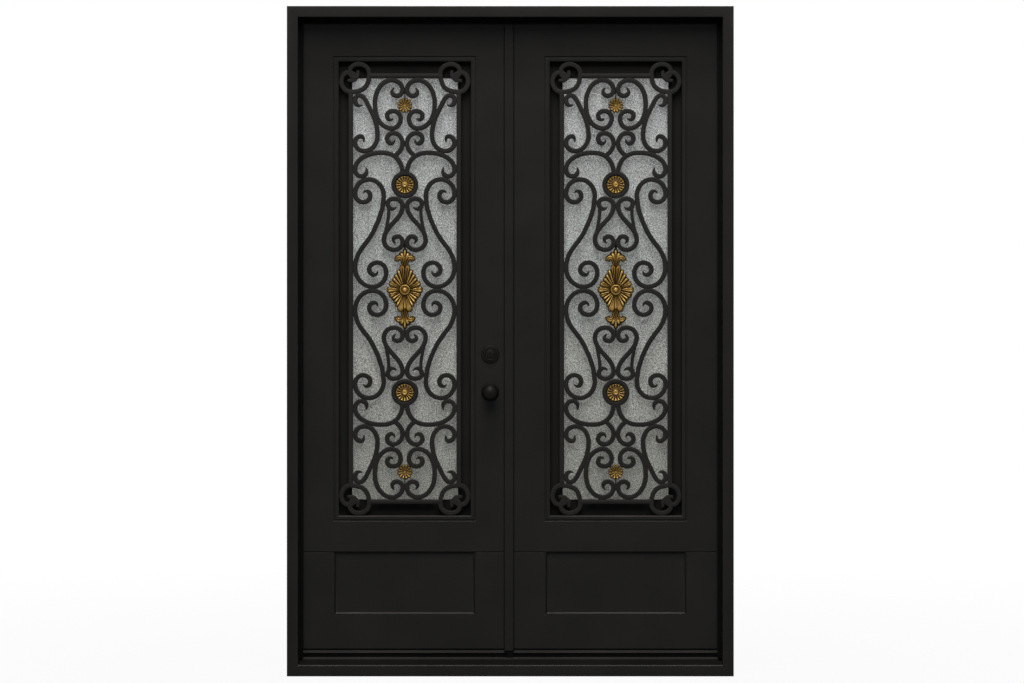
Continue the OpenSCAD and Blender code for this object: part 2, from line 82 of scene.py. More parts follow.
image_w, door_in_image_w = 1024, 447.1
shift_right, shift_up = 1.7, -0.3
door_share_w = door_in_image_w / image_w
camera_distance = 10.0
head_low, head_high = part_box("head_jamb")
door_w, door_h = head_high.x - head_low.x, head_high.z
door_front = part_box("sill")[0].y

camera_data = bpy.data.cameras.new("camera")
camera_data.sensor_width = 36
camera_data.lens = camera_data.sensor_width * door_share_w * camera_distance / door_w
camera_data.shift_x, camera_data.shift_y = shift_right / image_w, shift_up / image_w
camera = set_down("camera", camera_data)
camera.location = (0, door_front - camera_distance, door_h / 2)
camera.rotation_euler = (math.radians(90), 0, 0)
bpy.context.scene.camera = camera
print("Lens:", round(camera_data.lens, 1), "mm")

# %% [markdown]
# ## Nodes for finishes
# A finish is a small graph of nodes that ends in the shader. Setting up a node in place takes
# several lines. One helper adds a node and fills its sockets instead: it sets a plain number on the
# socket, and links another node's output to it.

# %% Node helpers
def plug(tree, socket, value):
    if isinstance(value, bpy.types.NodeSocket):
        tree.links.new(value, socket)
    else:
        socket.default_value = value


def fill(tree, node, **inputs):
    """Fills a node's sockets, with _ for the spaces in their names, and returns its outputs."""
    for label, value in inputs.items():
        plug(tree, node.inputs[label.replace("_", " ")], value)
    return node.outputs


def add_node(tree, kind, **inputs):
    return fill(tree, tree.nodes.new("ShaderNode" + kind), **inputs)


def noise_node(tree, scale, detail=3.0, rough=0.5):
    place = add_node(tree, "TexCoord")["Object"]
    return add_node(tree, "TexNoise", Vector=place, Scale=scale, Detail=detail,
                    Roughness=rough)["Fac"]


def ramp_node(tree, source, stops):
    ramp = tree.nodes.new("ShaderNodeValToRGB")
    marks = ramp.color_ramp.elements
    while len(marks) < len(stops):
        marks.new(0.5)
    for mark, (at, tone) in zip(marks, stops):
        mark.position = at
        mark.color = (*tone, 1)
    return fill(tree, ramp, Fac=source)["Color"]


def bump_node(tree, height, strength, distance):
    return add_node(tree, "Bump", Height=height, Strength=strength, Distance=distance)["Normal"]


def range_node(tree, value, span=(0, 1), to=(0, 1)):
    """Brings a value from one span to another."""
    return add_node(tree, "MapRange", Value=value, From_Min=span[0], From_Max=span[1],
                    To_Min=to[0], To_Max=to[1])["Result"]


def mix_node(tree, blend, **inputs):
    mixed = tree.nodes.new("ShaderNodeMix")
    mixed.data_type, mixed.blend_type = "RGBA", blend
    return fill(tree, mixed, **inputs)["Result"]


def upward_part(tree, kind):
    """How high a point lies, or how far its face turns upwards."""
    place = add_node(tree, "TexCoord")[kind]
    return add_node(tree, "SeparateXYZ", Vector=place)["Z"]


node_helpers = (noise_node, ramp_node, bump_node, range_node, mix_node, upward_part)
print("Node helpers:", [helper.__name__ for helper in node_helpers])

# %% [markdown]
# ## Black paint
# The frame, the leaves and the ironwork all wear black satin paint, sprayed on. Sprayed paint has a
# faint orange peel, and its tone and gloss drift a little over a large face. A plain black would
# look like a hole in the picture. Three noise textures make the drift of tone, the dull patches and
# the peel, which a bump node turns into light and shade. Faces that look up can be painted
# lighter, a painted highlight for the light that falls on them from above.

# %% Paint
drift_scale, patch_scale, peel_strength = 5.0, 16.0, 0.25
tone_swing, dull_swing, highlight_slope = 0.12, 0.06, (0.2, 0.7)


def new_finish(name):
    finish = bpy.data.materials.new(name)
    finish.use_nodes = True
    return finish, finish.node_tree, finish.node_tree.nodes["Principled BSDF"]


def shade(tone, share):
    return tuple(channel * share for channel in tone)


def painted_highlight(tree, colour, highlight_tone):
    """Lightens what faces up: a painted highlight for the light from above."""
    upward = range_node(tree, upward_part(tree, "Normal"), highlight_slope)
    return mix_node(tree, "MIX", Factor=upward, A=colour, B=(*highlight_tone, 1))


def black_paint(name, tone, roughness, peel_scale=420, peel_depth=0.0003, gloss=0.06, highlight=0):
    finish, tree, shader = new_finish(name)
    colour = ramp_node(tree, noise_node(tree, drift_scale, 4.0),
                       [(0.3, shade(tone, 1 - tone_swing)), (0.7, shade(tone, 1 + tone_swing))])
    # Faces that look up are painted lighter: a painted highlight.
    if highlight:
        colour = painted_highlight(tree, colour, shade(tone, highlight))
    dull = range_node(tree, noise_node(tree, patch_scale),
                      to=(roughness - dull_swing, roughness + dull_swing))
    peel = bump_node(tree, noise_node(tree, peel_scale, 2.0), peel_strength, peel_depth)
    fill(tree, shader, Base_Color=colour, Roughness=dull, Normal=peel, Specular_IOR_Level=gloss)
    return finish


paint_tone = (0.0115, 0.0110, 0.0102)
# The frame and the leaves are painted lighter where they face up: a painted highlight for the light
# from above.
frame_paint = black_paint("frame_paint", paint_tone, 0.22, highlight=4.0)
leaf_paint = black_paint("leaf_paint", paint_tone, 0.22, highlight=3.0)
# The sash is painted darker than the leaves: painted shade for its deep recess behind the moulding.
sash_paint = black_paint("sash_paint", shade(paint_tone, 0.85), 0.6, gloss=0.03)
iron_paint = black_paint("iron_paint", shade(paint_tone, 1.25), 0.5, 160, 0.0012, 0.05)
print("Paints:", [paint.name for paint in (frame_paint, leaf_paint, sash_paint, iron_paint)])

# %% [markdown]
# ## The welded outer frame
# The outer frame is a steel tube, mitred, welded and ground flush, so no joint shows at its
# corners. Four boxes would show seams. Instead one profile runs round the opening: each of its
# points is copied to the four corners, and faces join each corner to the next. Small radii on the
# profile catch the light along the edges.

# %% Frame ring
def soften(corners, steps=3):
    """Corners are (out, depth, radius). Returns the profile with those corners rounded."""
    profile = []
    for i, (out, depth, radius) in enumerate(corners):
        here = Vector((out, depth))
        before = (Vector(corners[i - 1][:2]) - here).normalized() * radius
        after = (Vector(corners[(i + 1) % len(corners)][:2]) - here).normalized() * radius
        for k in range(steps + 1 if radius else 1):
            t = k / steps
            profile.append(here + before * (1 - t) ** 2 + after * t ** 2)
    return profile


def band(here, there, count):
    """The faces between two loops of points, given where each loop starts."""
    return [(here + k, here + (k + 1) % count, there + (k + 1) % count, there + k)
            for k in range(count)]


def mitred_ring(middle, size, profile):
    """Runs a profile round an opening. Its points are (out, depth) from the opening's edge."""
    points, faces = [], []
    for across, up in ((-1, -1), (1, -1), (1, 1), (-1, 1)):
        points += [(middle[0] + across * (size[0] / 2 + out), depth,
                    middle[1] + up * (size[1] / 2 + out)) for out, depth in profile]
    n = len(profile)
    for corner in range(4):
        faces += band(corner * n, (corner + 1) % 4 * n, n)
    return points, faces


jamb_low, jamb_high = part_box("left_jamb")
saddle_low, saddle_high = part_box("saddle")
opening_x = saddle_high.x
opening_top = head_low.z
face_w = door_w / 2 - opening_x
sill_top = face_w
frame_edge, frame_back_edge = 0.0035, 0.0015
frame_profile = soften([
    (0, jamb_low.y, frame_edge), (face_w, jamb_low.y, frame_edge),
    (face_w, jamb_high.y, frame_back_edge), (0, jamb_high.y, frame_back_edge)])
frame_ring = mitred_ring((0, (sill_top + opening_top) / 2),
                         (2 * opening_x, opening_top - sill_top), frame_profile)
print("Frame face:", round(face_w * 1000), "mm wide")

# %% [markdown]
# ## From points to a piece
# Points and faces become a mesh, and the mesh an object. Every piece also rides on a body of the
# CAD model, so that it moves along with it, and it may stand for some of the CAD parts, which then
# disappear. All pieces need this, so it goes into one helper.

# %% Frame piece
def solid_mesh(name, shape):
    """A mesh from points and faces, with doubled points joined and all faces turned outwards."""
    mesh = bpy.data.meshes.new(name)
    mesh.from_pydata(shape[0], [], shape[1])
    build = bmesh.new()
    build.from_mesh(mesh)
    bmesh.ops.remove_doubles(build, verts=build.verts, dist=1e-6)
    bmesh.ops.recalc_face_normals(build, faces=build.faces)
    build.to_mesh(mesh)
    build.free()
    return mesh


def round_edges(piece, edge):
    rounding = piece.modifiers.new("rounded edges", "BEVEL")
    rounding.width = edge
    rounding.segments = 2
    rounding.limit_method = "ANGLE"
    rounding.angle_limit = math.radians(40)
    rounding.harden_normals = True


def add_piece(name, shape, finish, body, slot=None, stands_for=(), edge=0.0, crease=35):
    """Makes a mesh piece that rides on a CAD body, with rounded edges if an edge size is given."""
    mesh = solid_mesh(name, shape)
    mesh.materials.append(finish)
    mesh.polygons.foreach_set("use_smooth", [True] * len(mesh.polygons))
    mesh.set_sharp_from_angle(angle=math.radians(crease))
    piece = set_down(name, mesh)
    if edge:
        round_edges(piece, edge)
    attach(piece, body)
    if stands_for:
        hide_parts(*stands_for)
    return piece


outer_frame = add_piece("outer_frame", frame_ring, frame_paint, "frame", "frame_paint",
                        ["left_jamb", "right_jamb", "head_jamb"])
print(outer_frame.name, "has", len(outer_frame.data.polygons), "faces")

# %% [markdown]
# ## The sloping tread
# Behind the sill's front edge a tread rises gently to the saddle, so that rain runs off. It is a
# prism with one sloping face. A bevel modifier rounds its edges after the fact, which keeps the
# mesh itself down to a few corners.

# %% Tread
def prism(profile, xs):
    """A profile of (depth, height) run from one side to another."""
    n = len(profile)
    points = [(x, y, z) for x in xs for y, z in profile]
    return points, [tuple(range(n)), tuple(range(n, 2 * n))] + band(0, n, n)


# The tread is painted darker than the frame: painted shade, so its upward slope stays as dark as
# the frame's front.
shaded_tread_paint = black_paint("shaded_tread_paint", shade(paint_tone, 0.65), 0.5, gloss=0)
tread_set, tread_sink, tread_rise, tread_edge = 0.003, 0.002, 0.012, 0.001
tread = prism([(jamb_low.y + tread_set, sill_top - tread_sink),
               (saddle_low.y, sill_top + tread_rise), (saddle_low.y, saddle_low.z),
               (jamb_high.y, saddle_low.z), (jamb_high.y, sill_top - tread_sink)],
              (-opening_x, opening_x))
add_piece("sill_tread", tread, shaded_tread_paint, "frame", "frame_paint", ["sill"], tread_edge)
print("Tread rises", round(tread_rise * 1000), "mm")

# %% [markdown]
# ## The leaves
# Each leaf is folded from sheet steel round a tube skeleton, so its face is one flush sheet with a
# cut-out for the window. A single weld line crosses it at the top of the kick panel. We could cut
# the openings with boolean modifiers. Here a plate is laid out in cells instead, with one of them
# left out, which gives clean quads. Two plates meet at the weld line with a narrow groove between
# them, and a tongue behind it keeps daylight out.

# %% Leaf plates
def slab(xs, ys, zs):
    """A block, with its faces listed as left, right, front, back, bottom and top."""
    points = [(x, y, z) for x in xs for y in ys for z in zs]
    return points, [(0, 1, 3, 2), (4, 5, 7, 6), (0, 1, 5, 4), (2, 3, 7, 6), (0, 2, 6, 4),
                    (1, 3, 7, 5)]


def gather(shapes):
    """Joins several shapes into one."""
    points, faces = [], []
    for some_points, some_faces in shapes:
        faces += [tuple(k + len(points) for k in face) for face in some_faces]
        points += some_points
    return points, faces


def plate(xs, ys, zs, hole):
    """Blocks side by side with one cell left out, and no walls where two blocks meet."""
    cells = [(i, j) for i in range(len(xs) - 1) for j in range(len(zs) - 1) if (i, j) != hole]
    blocks = []
    for i, j in cells:
        points, faces = slab(xs[i:i + 2], ys, zs[j:j + 2])
        beside = ((i - 1, j), (i + 1, j), None, None, (i, j - 1), (i, j + 1))
        blocks.append((points, [face for face, cell in zip(faces, beside) if cell not in cells]))
    return gather(blocks)


def on_leaf(side, name, shape, finish, slot=None, nodes=(), **rounding):
    """A piece of the left or right leaf, which may stand for some of that leaf's CAD nodes."""
    return add_piece(f"{side}_{name}", shape, finish, f"{side}_leaf", slot,
                     [f"{side}_{node}" for node in nodes], **rounding)


sides = {"left": 1, "right": -1}
leaf_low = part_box("left_hinge_stile")[0]
leaf_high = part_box("left_meeting_stile")[1]
cut_low, cut_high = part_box("left_sash_sides")
kick_low, kick_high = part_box("left_kick_panel")
leaf_front, leaf_back = leaf_low.y, leaf_high.y
leaf_edge, kick_edge, cut_over, kick_over = 0.0018, 0.0005, 0.002, 0.003
seam_gap, seam_deep, tongue_lap, hair = 0.0038, 0.0026, 0.001, 0.0002
kick_floor, seam = kick_low.z - kick_over, kick_high.z - seam_gap
leaf_y, tongue_y = (leaf_front, leaf_back), (leaf_front + seam_deep, leaf_back - seam_deep)
upper_z = (kick_high.z, cut_low.z - cut_over, cut_high.z + cut_over, leaf_high.z)
lower_z, tongue_z = (leaf_low.z, kick_floor, seam), (seam - tongue_lap, kick_high.z - hair)

for side, sign in sides.items():
    xs = sorted(sign * x for x in (leaf_low.x, cut_low.x - cut_over, cut_high.x + cut_over,
                                   leaf_high.x))
    upper = plate(xs, leaf_y, upper_z, (1, 1))
    xs = sorted(sign * x for x in (leaf_low.x, cut_low.x, cut_high.x, leaf_high.x))
    lower = [plate(xs, leaf_y, lower_z, (1, 1))]
    lower += [slab(ends, tongue_y, tongue_z) for ends in (xs[:2], xs[2:])]
    on_leaf(side, "leaf_upper", upper, leaf_paint, "leaf_paint",
            ("hinge_stile", "meeting_stile", "top_rail", "lock_rail"), edge=leaf_edge)
    on_leaf(side, "leaf_lower", gather(lower), leaf_paint, "leaf_paint", ("bottom_rail",),
            edge=kick_edge)
print("Leaf:", [round(v * 1000) for v in leaf_high - leaf_low], "mm")

# %% [markdown]
# ## Kick panels
# Under each window lies a shallow panel, with a thin shadow line round it. Its border is hollow and
# round, so at the bottom it catches the light from above and at the top it lies in shade. The ring
# that made the frame makes this border too. Its profile runs in from the edge on both faces.

# %% Kick panels
kick_play = 0.0006
kick_w, kick_h = cut_high.x - cut_low.x - kick_play, kick_high.z - kick_floor - kick_play
kick_gap, kick_gap_deep, kick_lip = 0.003, 0.007, 0.0006
kick_cove, kick_deep = 0.008, 0.008


def cove(face, inward, steps=6):
    """The shadow line and the hollow border on one face, down to the panel."""
    turns = [math.pi / 2 * k / steps for k in range(steps + 1)]
    gap_floor = face + inward * kick_gap_deep
    return [(0, gap_floor), (-kick_gap, gap_floor)] + [
        (-kick_gap - kick_cove * (1 - math.cos(t)),
         face + inward * (kick_lip + (kick_deep - kick_lip) * math.sin(t))) for t in turns]


def about(middle, half):
    return (middle - half, middle + half)


border_profile = cove(leaf_front, 1) + cove(leaf_back, -1)[::-1]
kick_mid_x, kick_mid_z = (cut_low.x + cut_high.x) / 2, (kick_floor + kick_high.z) / 2
panel_x, panel_z = kick_w / 2 - kick_gap - kick_cove, kick_h / 2 - kick_gap - kick_cove
for side, sign in sides.items():
    middle = sign * kick_mid_x
    ring = mitred_ring((middle, kick_mid_z), (kick_w, kick_h), border_profile)
    panel = slab(about(middle, panel_x), (leaf_front + kick_deep, leaf_back - kick_deep),
                 about(kick_mid_z, panel_z))
    on_leaf(side, "kick", gather([ring, panel]), leaf_paint, "leaf_paint", ("kick_panel",),
            crease=30)
print("Kick panel:", round(kick_w * 1000), "by", round(kick_h * 1000), "mm")

# %% [markdown]
# ## Window moulding and sash
# A flat moulding frames each window, with a narrow shadow groove round it. Behind it sits the sash
# that holds the glass. Both are picture frames, so both use the ring that made the outer frame,
# each with a profile of its own. The sash's profile has the rebate for the glass.

# %% Moulding and sash
moulding_w, groove_w, groove_deep = 0.014, 0.003, 0.005
moulding_round, groove_round, sash_round = 0.006, 0.0015, 0.002
border, groove_floor = moulding_w + groove_w, leaf_front + groove_deep
sash_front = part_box("left_moulding_sides")[1].y
sash_back = cut_high.y
glass_low, glass_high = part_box("left_glass")
window_mid = (kick_mid_x, (cut_low.z + cut_high.z) / 2)
window_w = cut_high.x - cut_low.x - 2 * border
window_h = cut_high.z - cut_low.z - 2 * border
sash_show, glass_bite = (0.0470, 0.0580), 0.006
groove_end = border + cut_over - hair

moulding_profile = soften([
    (0, sash_front, 0), (0, leaf_front, moulding_round), (moulding_w, leaf_front, groove_round),
    (moulding_w, groove_floor, 0.0005), (groove_end, groove_floor, 0), (groove_end, sash_front, 0)])
sash_deep = sash_show[0] + groove_end
sash_profile = soften([
    (0, sash_front, sash_round), (sash_deep, sash_front, 0), (sash_deep, sash_back, 0.001),
    (0, sash_back, sash_round), (0, glass_high.y, 0), (glass_bite, glass_high.y, 0),
    (glass_bite, glass_low.y, 0), (0, glass_low.y, 0)])
for side, sign in sides.items():
    middle = (sign * window_mid[0], window_mid[1])
    on_leaf(side, "moulding", mitred_ring(middle, (window_w, window_h), moulding_profile),
            leaf_paint, "leaf_paint", ("moulding_sides", "moulding_ends"))
    inside = (window_w - 2 * sash_show[0], window_h - 2 * sash_show[1])
    on_leaf(side, "sash", mitred_ring(middle, inside, sash_profile), sash_paint, "sash_paint",
            ("sash_sides", "sash_ends"))
print("Window:", round(window_w * 1000), "by", round(window_h * 1000), "mm")

# %% [markdown]
# ## Rain glass
# The glass is obscured by a rolled texture, like rain on a pane. Its surface really is uneven, so
# a fine grid is pushed in and out by noise, and a bump node adds the grain between the grid points.
# A clear pane would show the room behind. This one is rough and partly diffuse, so that it glows
# with the light that falls on it from either side. Its colour is painted a little darker and warmer
# downwards: painted shade for the dimmer light lower down.

# %% Glass
grain_scale, grain_rough, grain_strength, grain_deep = 230.0, 0.6, 0.5, 0.002
ripples, ripple_step, ripple_deep = 85, 0.006, 0.0012


def rain_finish():
    finish, tree, shader = new_finish("rain_glass")
    grain = noise_node(tree, grain_scale, rough=grain_rough)
    speckle = ramp_node(tree, grain, [(0.37, (0.042, 0.044, 0.044)), (0.50, (0.38, 0.39, 0.39)),
                                      (0.63, (0.87, 0.89, 0.89))])
    # Darker and warmer towards the bottom: painted shade by height.
    height = range_node(tree, upward_part(tree, "Object"), (glass_low.z, glass_high.z))
    height_shade = ramp_node(tree, height, [(0.05, (0.70, 0.685, 0.62)), (0.25, (0.86, 0.85, 0.79)),
                                    (0.6, (0.90, 0.91, 0.87)), (0.85, (1.0, 1.0, 0.98))])
    shaded_speckle = mix_node(tree, "MULTIPLY", Factor=1, A=speckle, B=height_shade)
    fill(tree, shader, Base_Color=shaded_speckle, Transmission_Weight=0.6, Roughness=0.35, IOR=1.45,
         Normal=bump_node(tree, grain, grain_strength, grain_deep))
    return finish


def rolled_sheet(low, high, step, depth, seed):
    """A sheet with both faces pushed inwards by up to a depth."""
    nx = max(2, round((high.x - low.x) / step))
    nz = max(2, round((high.z - low.z) / step))
    points, faces = [], []
    for y, inwards in ((low.y, 1), (high.y, -1)):
        for i in range(nx + 1):
            for j in range(nz + 1):
                x = low.x + (high.x - low.x) * i / nx
                z = low.z + (high.z - low.z) * j / nz
                edge = i in (0, nx) or j in (0, nz)
                wave = 0 if edge else 0.5 + 0.5 * noise.noise(Vector((x, seed + y, z)) * ripples)
                points.append((x, y + inwards * depth * wave, z))
    row, sheet = nz + 1, (nx + 1) * (nz + 1)
    for base in (0, sheet):
        faces += [(base + i * row + j, base + (i + 1) * row + j, base + (i + 1) * row + j + 1,
                   base + i * row + j + 1) for i in range(nx) for j in range(nz)]
    rim = [i * row for i in range(nx)] + [nx * row + j for j in range(nz)]
    rim += [i * row + nz for i in range(nx, 0, -1)] + [j for j in range(nz, 0, -1)]
    faces += [(a, b, b + sheet, a + sheet) for a, b in zip(rim, rim[1:] + rim[:1])]
    return points, faces


rain_glass = rain_finish()
for side, seed in (("left", 3.0), ("right", 9.0)):
    low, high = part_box(f"{side}_glass")
    play = Vector((hair, hair, hair))
    sheet = rolled_sheet(low + play, high - play, ripple_step, ripple_deep, seed)
    piece = on_leaf(side, "pane", sheet, rain_glass, "rain_glass", ("glass",), crease=60)
    print(piece.name, len(piece.data.polygons), "faces")

# %% [markdown]
# ## Forged scrolls
# The ironwork is flat bar with a rounded face, bent into scrolls that thin towards their tips. A
# curve object with a bevel could make them, but it can't thin the bar and keep its back flat. So
# each scroll is a row of places with headings. A smooth line is drawn through them, and a section
# is swept along it. One quarter of the pattern is listed, and the rest is its mirror image.

# %% Scroll lines
def along(heading):
    return Vector((math.cos(math.radians(heading)), math.sin(math.radians(heading))))


def scroll_line(row, step=9):
    """A line through places of (across, up, heading), bending evenly from each to the next."""
    line = []
    for start, end in zip(row, row[1:]):
        p, q = Vector(start[:2]), Vector(end[:2])
        bend = abs((end[2] - start[2] + 900) % 360 - 180)
        turn = math.radians(bend)
        share = 1 / 3 if bend < 1 else 4 / 3 * math.tan(turn / 4) / math.sin(turn)
        b = p + along(start[2]) * share * abs((q - p).dot(along(start[2])))
        c = q - along(end[2]) * share * abs((q - p).dot(along(end[2])))
        count = max(3, math.ceil(bend / step))
        for i in range(count):
            t = i / count
            line.append(p * (1 - t) ** 3 + b * 3 * t * (1 - t) ** 2 + c * 3 * t * t * (1 - t)
                        + q * t ** 3)
    line.append(Vector(row[-1][:2]))
    return line


corner_half = [(85, -87, 45), (102, -33, 90), (63, 0, 180), (31, -25, 270), (49, -50, 0),
               (60, -35, 90), (60, -23, 95)]
oval_scroll = [(-39, 739, 235), (-47, 726, 270), (-30, 709, 0), (-8, 731, 90), (-48, 767, 180),
               (-110, 683, 270), (-97, 621, 300), (-48, 589, 0), (-15, 626, 90), (-42, 653, 180),
               (-65, 637, 270), (-53, 621, 0), (-42, 626, 45)]
side_scroll = [(-156, 676, 210), (-168, 673, 180), (-183, 693, 90), (-166, 711, 0),
               (-123, 651, -62), (-100, 564, -90), (-148, 506, 180), (-183, 536, 90),
               (-162, 560, 0), (-151, 548, 270), (-150, 539, 280)]
small_scroll = [(-37, 548, 270), (-49, 534, 180), (-65, 552, 90), (-42, 572, 0), (-8, 534, 270),
                (-37, 489, 215)]
shoulder_scroll = [(-8, 425, 90), (-48, 493, 155), (-88, 500, 180), (-183, 439, 270),
                   (-160, 413, 0), (-140, 432, 90), (-143, 446, 115)]
long_scroll = [(-152, 351, 80), (-142, 359, 0), (-127, 341, 270), (-153, 318, 180),
               (-183, 350, 90), (-132, 402, 0), (-77, 340, 270), (-117, 207, 243),
               (-154, 154, 232), (-183, 79, 270), (-118, 7, 0), (-68, 59, 90), (-101, 96, 180),
               (-131, 70, 270), (-111, 51, 0), (-100, 65, 92)]
lyre_scroll = [(-32, 301, 260), (-46, 293, 180), (-63, 314, 90), (-39, 331, 0), (-8, 304, 270),
               (-38, 247, 226), (-77, 180, 270), (-40, 143, 0), (-8, 170, 90), (-26, 192, 180),
               (-42, 180, 270), (-33, 167, 330)]
lyre_stem = [(-60, 316, 270), (-59, 280, 268), (-63, 247, 258), (-70, 215, 250)]

corner_w, scroll_w, stem_w, bar_w = 17, 17, 12, 17
inset = corner_w / 2 + 0.5
corner_at = (inset - window_w * 500, window_h * 500 - inset)
corner_rows = [[(corner_at[0] + a, corner_at[1] + b, h) for a, b, h in corner_half],
               [(corner_at[0] - b, corner_at[1] - a, 270 - h) for a, b, h in corner_half]]
# Each scroll has its width, says which of its two ends are thinned to a tip, and may give the tip's
# width. The corner scrolls stay thick.
quarter = [(row, corner_w, (False, True), 11) for row in corner_rows] + [
    (oval_scroll, scroll_w, (True, True)), (side_scroll, scroll_w, (True, True)),
    (small_scroll, scroll_w, (True, False)), (shoulder_scroll, scroll_w, (False, True)),
    (long_scroll, scroll_w, (True, True)), (lyre_scroll, scroll_w, (True, True)),
    (lyre_stem, stem_w, (False, False))]
print(len(quarter), "scrolls in a quarter, with", sum(len(q[0]) for q in quarter), "places")

# %% [markdown]
# ## Sweeping the bars
# Now the section travels along each line. At every point it stands square to the line, as wide as
# the bar is there. The front of the section is a flat arch, with edges that the hammer has rounded.

# %% Sweep
arch = [(-1, 0), (-1, 0.78), (-0.95, 0.9), (-0.84, 0.96), (-0.5, 0.99), (0, 1), (0.5, 0.99),
        (0.84, 0.96), (0.95, 0.9), (1, 0.78), (1, 0)]
bar_d, tip_length = 14.0, 24.0


def swept(line, widths, depths, section, closed=False):
    """A section along a line in the window's plane. Points are (across, depth, up), in mm."""
    points, faces = [], []
    last = len(line) - 1
    for i, here in enumerate(line):
        before = line[i - 1] if closed or i else here
        after = line[(i + 1) % len(line)] if closed or i < last else here
        ahead = (after - before).normalized()
        across = Vector((-ahead.y, ahead.x))
        for u, v in section:
            spot = here + across * (u * widths[i] / 2)
            points.append((spot.x, -v * depths[i], spot.y))
    n = len(section)
    for i in range(len(line) if closed else last):
        faces += band(i * n, (i + 1) % len(line) * n, n)
    if not closed:
        faces += [tuple(range(n)), tuple(range(last * n, last * n + n))]
    return points, faces


def run_lengths(line):
    runs = [0.0]
    for a, b in zip(line, line[1:]):
        runs.append(runs[-1] + (b - a).length)
    return runs


def forged(row, w, tips, tip_w=4):
    line = scroll_line(row)
    runs = run_lengths(line)
    widths = []
    for run in runs:
        to_tip = min(run if tips[0] else tip_length, runs[-1] - run if tips[1] else tip_length)
        widths.append(tip_w + (w - tip_w) * min(1, to_tip / tip_length))
    depths = [bar_d * (0.7 + 0.3 * width / w) for width in widths]
    return swept(line, widths, depths, arch)


scrolls = [forged(*scroll) for scroll in quarter]
print("Swept", len(scrolls), "scrolls")

# %% [markdown]
# ## The grille
# The quarter is mirrored to the other three. Straight bars and the two rings use the same sweep,
# and small tabs weld the grille to the moulding. All of it becomes one mesh a leaf, because the
# real bars are welded to one another too.

# %% Grille
flat_arch = [(-1, 0), (-1, 0.82), (-0.93, 0.94), (-0.8, 1), (0.8, 1), (0.93, 0.94), (1, 0.82),
             (1, 0)]


def flipped(shape, across, up):
    return [(x * across, y, z * up) for x, y, z in shape[0]], shape[1]


def in_window(shape, sign, back):
    """Brings a shape drawn round the window's middle, in mm, to its place on the door."""
    return [(sign * (window_mid[0] + x / 1000), back + y / 1000, window_mid[1] + z / 1000)
            for x, y, z in shape[0]], shape[1]


def circle_line(middle, radius, count):
    return [Vector(middle) + along(360 * k / count) * radius for k in range(count)]


four_ways = [(1, 1), (-1, 1), (1, -1), (-1, -1)]
bar_at, bar_end = (198.5, 783), (127, 721)
ring_up, ring_mid_r, ring_w, ring_steps = 382, 42.25, 15.5, 72
top_place, side_place = corner_rows[0][2], corner_rows[1][2]
tab, tab_y = 5, (-11, -1)
tabs = [slab(about(top_place[0], tab), tab_y, (top_place[1], window_h * 500)),
        slab((-window_w * 500, side_place[0]), tab_y, about(side_place[1], tab))]
quarter_shape = gather(scrolls + tabs)
shapes = [flipped(quarter_shape, *way) for way in four_ways]
for end in (-1, 1):
    upright = [Vector((end * bar_at[0], -bar_end[1])), Vector((end * bar_at[0], bar_end[1]))]
    level = [Vector((-bar_end[0], end * bar_at[1])), Vector((bar_end[0], end * bar_at[1]))]
    shapes += [swept(line, [bar_w] * 2, [bar_d] * 2, flat_arch) for line in (upright, level)]
    ring = circle_line((0, end * ring_up), ring_mid_r, ring_steps)
    shapes.append(swept(ring, [ring_w] * ring_steps, [bar_d] * ring_steps, arch, closed=True))
ironwork = gather(shapes)
bar_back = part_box("left_grille")[1].y
for side, sign in sides.items():
    on_leaf(side, "ironwork", in_window(ironwork, sign, bar_back), iron_paint, "ironwork_paint",
            ("grille",), crease=50)
print("Ironwork:", len(ironwork[1]), "faces on each leaf")

# %% [markdown]
# ## Antique gold
# The castings are painted gold and then glazed with brown, which stays in the hollows. Blender can
# find hollows with the ambient occlusion node: it tells how much of the sky a point sees. That
# drives a ramp from dark brown to bright gold, and makes the hollows duller as well. The ramp's
# dark end is far darker than the glaze, so the hollows are partly glaze and partly painted shade.

# %% Gold finish
hollow_reach, cast_scale, cast_strength, cast_deep = 0.005, 380.0, 0.3, 0.0006


def gold_finish():
    finish, tree, shader = new_finish("antique_gold")
    hollow = tree.nodes.new("ShaderNodeAmbientOcclusion")
    hollow.samples, hollow.only_local = 8, True
    open_sky = fill(tree, hollow, Distance=hollow_reach)["AO"]
    # The dark end of this ramp is brown glaze in the hollows, deepened by painted shade.
    glaze_and_shade = ramp_node(tree, open_sky,
                      [(0.36, (0.006, 0.0018, 0.0001)), (0.62, (0.030, 0.0105, 0.0003)),
                       (0.82, (0.125, 0.053, 0.003)), (0.98, (0.33, 0.215, 0.062))])
    cast = bump_node(tree, noise_node(tree, cast_scale), cast_strength, cast_deep)
    dull = range_node(tree, open_sky, to=(0.62, 0.36))
    fill(tree, shader, Base_Color=glaze_and_shade, Normal=cast, Roughness=dull, Metallic=0.5,
         Specular_IOR_Level=0.05, Coat_Weight=0.15, Coat_Roughness=0.3)
    return finish


antique_gold = gold_finish()
brown_glaze = black_paint("brown_glaze", (0.021, 0.0095, 0.001), 0.5, 300, 0.0004, 0.03)
print("Gold finish has", len(antique_gold.node_tree.nodes), "nodes")

# %% [markdown]
# ## Cast petals
# Rosettes, star flowers and the tall sunburst are all made the same way: a turned hub stands on a
# thin backing plate, with petals round it. A petal is a short bar that swells and then rounds off,
# so the sweep that made the scrolls can make it too. Sculpting would give freer forms, but it takes
# hours and can't be written down in a few lines.

# %% Rosettes
def eased(stops, share):
    """A value between stops of (share, value), with soft bends at each stop."""
    for (a, low), (b, high) in zip(stops, stops[1:]):
        if share <= b + 1e-9:
            t = (share - a) / (b - a)
            return low + (high - low) * t * t * (3 - 2 * t)
    return stops[-1][1]


